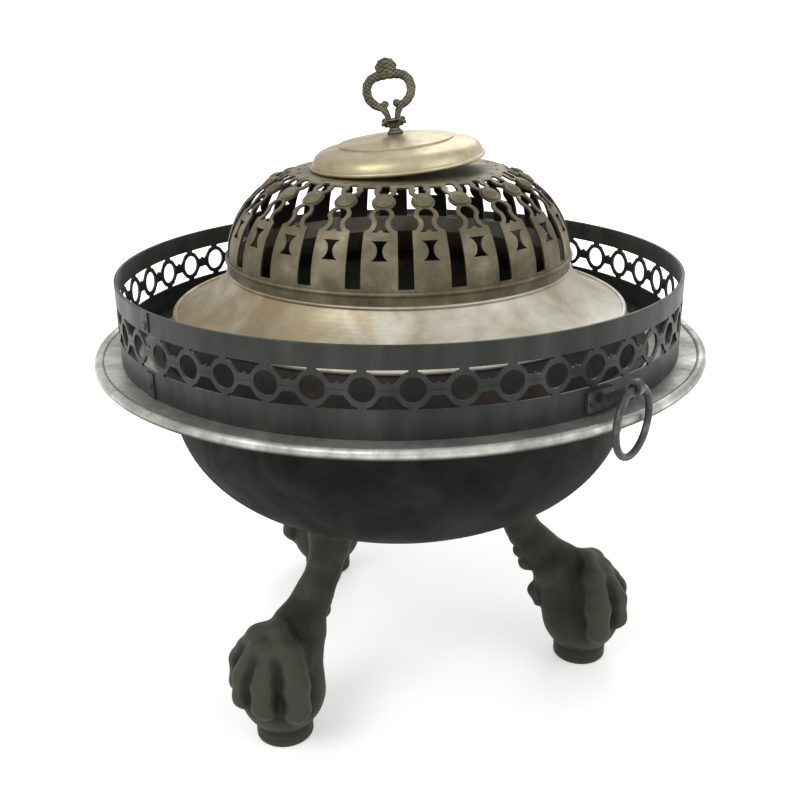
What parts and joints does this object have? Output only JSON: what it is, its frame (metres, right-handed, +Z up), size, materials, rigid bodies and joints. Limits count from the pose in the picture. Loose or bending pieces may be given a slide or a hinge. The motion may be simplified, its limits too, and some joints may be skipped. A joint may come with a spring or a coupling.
{
  "type": "brazier",
  "caption": "Round floor brazier with paw legs, a pierced gallery, drop ring handles, a lift-out ember pan and a pierced domed lid with a cast loop handle.",
  "frame": {"origin": "on the floor under the pan's centre", "axes": "+Z up along the pan's axis; -Y towards the front, as the picture sees it; +X to the right from there"},
  "size_m": [0.5999, 0.6, 0.6327],
  "materials": {
    "pan_sheet": "spun sheet iron, blackened, worn bright on the flange",
    "edge_wire": "plain iron wire inside the rolled edge",
    "leg_cast": "sand-cast paw legs with a brown-olive patina",
    "rivet_iron": "set rivets, blackened",
    "gallery_sheet": "pierced sheet iron, grey-black",
    "forged_iron": "forged iron, rubbed where it is held",
    "ember_sheet": "sheet iron with soot and rust",
    "skirt_brass": "thin brass worn pale, with tan patches",
    "dome_brass": "pierced brass, dull, dark in the cuts",
    "cap_brass": "spun brass, satin, tarnished at its rim",
    "handle_brass": "cast brass with an olive-brown patina",
    "nut_iron": "plain iron, rusty"
  },
  "bodies": {
    "base": {"pan": "pan_sheet", "rim_wire": "edge_wire", "leg_left_front": "leg_cast", "leg_right": "leg_cast", "leg_back": "leg_cast", "leg_rivets": "rivet_iron", "gallery": "gallery_sheet", "gallery_rivets": "rivet_iron", "seam_strap": "gallery_sheet", "seam_rivets": "rivet_iron", "eye_right": "forged_iron", "eye_left": "forged_iron", "eye_rivets": "rivet_iron"},
    "ember_pan": {"ember_pan": "ember_sheet"},
    "lid": {"lid_skirt": "skirt_brass", "lid_dome": "dome_brass", "base_bead": "dome_brass", "cap": "cap_brass", "cap_rim_bead": "cap_brass", "handle": "handle_brass", "crown_washer": "nut_iron", "crown_nut": "nut_iron"},
    "ring_right": {"ring_right": "forged_iron"},
    "ring_left": {"ring_left": "forged_iron"}
  },
  "joints": [
    {"name": "ember_lift", "type": "slide", "parent": "base", "child": "ember_pan", "axis": [0, 0, 1], "range_m": [0, 0.2]},
    {"name": "lid_lift", "type": "slide", "parent": "ember_pan", "child": "lid", "axis": [0, 0, 1], "range_m": [0, 0.25]},
    {"name": "ring_right_swing", "type": "hinge", "parent": "base", "child": "ring_right", "pos_m": [0.1828, -0.2516, 0.396], "axis": [-0.6157, -0.788, 0], "range_deg": [-1, 180]},
    {"name": "ring_left_swing", "type": "hinge", "parent": "base", "child": "ring_left", "pos_m": [-0.1828, 0.2516, 0.396], "axis": [0.6157, 0.788, 0], "range_deg": [-1, 180]}
  ]
}
